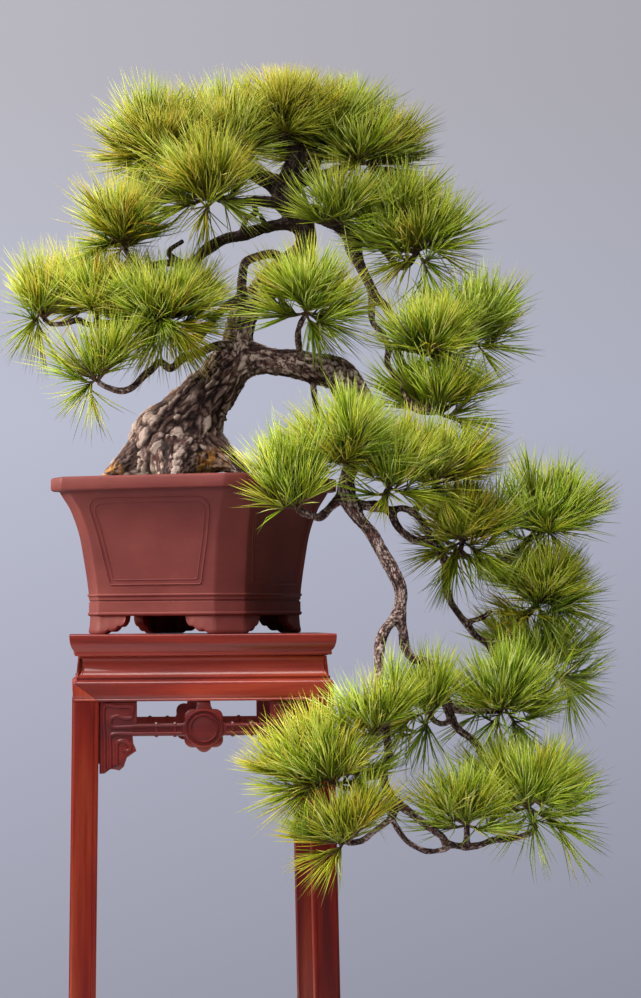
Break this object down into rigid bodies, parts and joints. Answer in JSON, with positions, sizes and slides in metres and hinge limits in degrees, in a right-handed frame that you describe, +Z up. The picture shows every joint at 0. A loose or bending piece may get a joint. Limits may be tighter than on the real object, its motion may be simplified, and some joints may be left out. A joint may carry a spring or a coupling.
{
  "type": "huangshan pine bonsai",
  "caption": "Cascading pine bonsai with sprays of long needles, in a square clay pot with cut corners, on a tall square rosewood stand.",
  "frame": {"origin": "bottom centre of the bounding box, on the floor; the stand is to its left, because the tree reaches out to the right", "axes": "+Z up; -Y toward the front, from which the cascade is seen to fall to the right (+X)"},
  "size_m": [0.8902, 0.5424, 1.5456],
  "materials": {
    "rosewood": "gloss",
    "clay": "satin",
    "soil": "matte",
    "bark": "matte",
    "needles": "satin"
  },
  "bodies": {
    "root": {"rail_front": "rosewood", "rail_right": "rosewood", "rail_back": "rosewood", "rail_left": "rosewood", "apron_front": "rosewood", "apron_right": "rosewood", "apron_back": "rosewood", "apron_left": "rosewood", "leg_front": "rosewood", "leg_right": "rosewood", "leg_back": "rosewood", "leg_left": "rosewood", "frieze_front": "rosewood", "frieze_right": "rosewood", "frieze_back": "rosewood", "frieze_left": "rosewood", "stretcher_front": "rosewood", "stretcher_right": "rosewood", "stretcher_back": "rosewood", "stretcher_left": "rosewood", "top_panel": "rosewood", "pot": "clay", "soil": "soil", "tree": "bark", "needles_apex": "needles", "needles_crown_centre": "needles", "needles_crown_right": "needles", "needles_right_edge": "needles", "needles_upper_left": "needles", "needles_left_crown": "needles", "needles_crown_front": "needles", "needles_back_left": "needles", "needles_back_right": "needles", "needles_inner_right": "needles", "needles_right_upper": "needles", "needles_right_tip": "needles", "needles_front": "needles", "needles_far_right": "needles", "needles_mid_right": "needles", "needles_right_low": "needles", "needles_far_left": "needles", "needles_left_up": "needles", "needles_left_mid": "needles", "needles_left_low": "needles", "needles_pot_edge": "needles", "needles_limb_front": "needles", "needles_middle": "needles", "needles_middle_right": "needles", "needles_inner_up": "needles", "needles_big_right": "needles", "needles_right_mid": "needles", "needles_right_lower": "needles", "needles_inner_low": "needles", "needles_left_hang": "needles", "needles_tail_top": "needles", "needles_big_left": "needles", "needles_low_left": "needles", "needles_low_mid": "needles", "needles_low_right": "needles", "needles_low_back": "needles"}
  },
  "joints": []
}
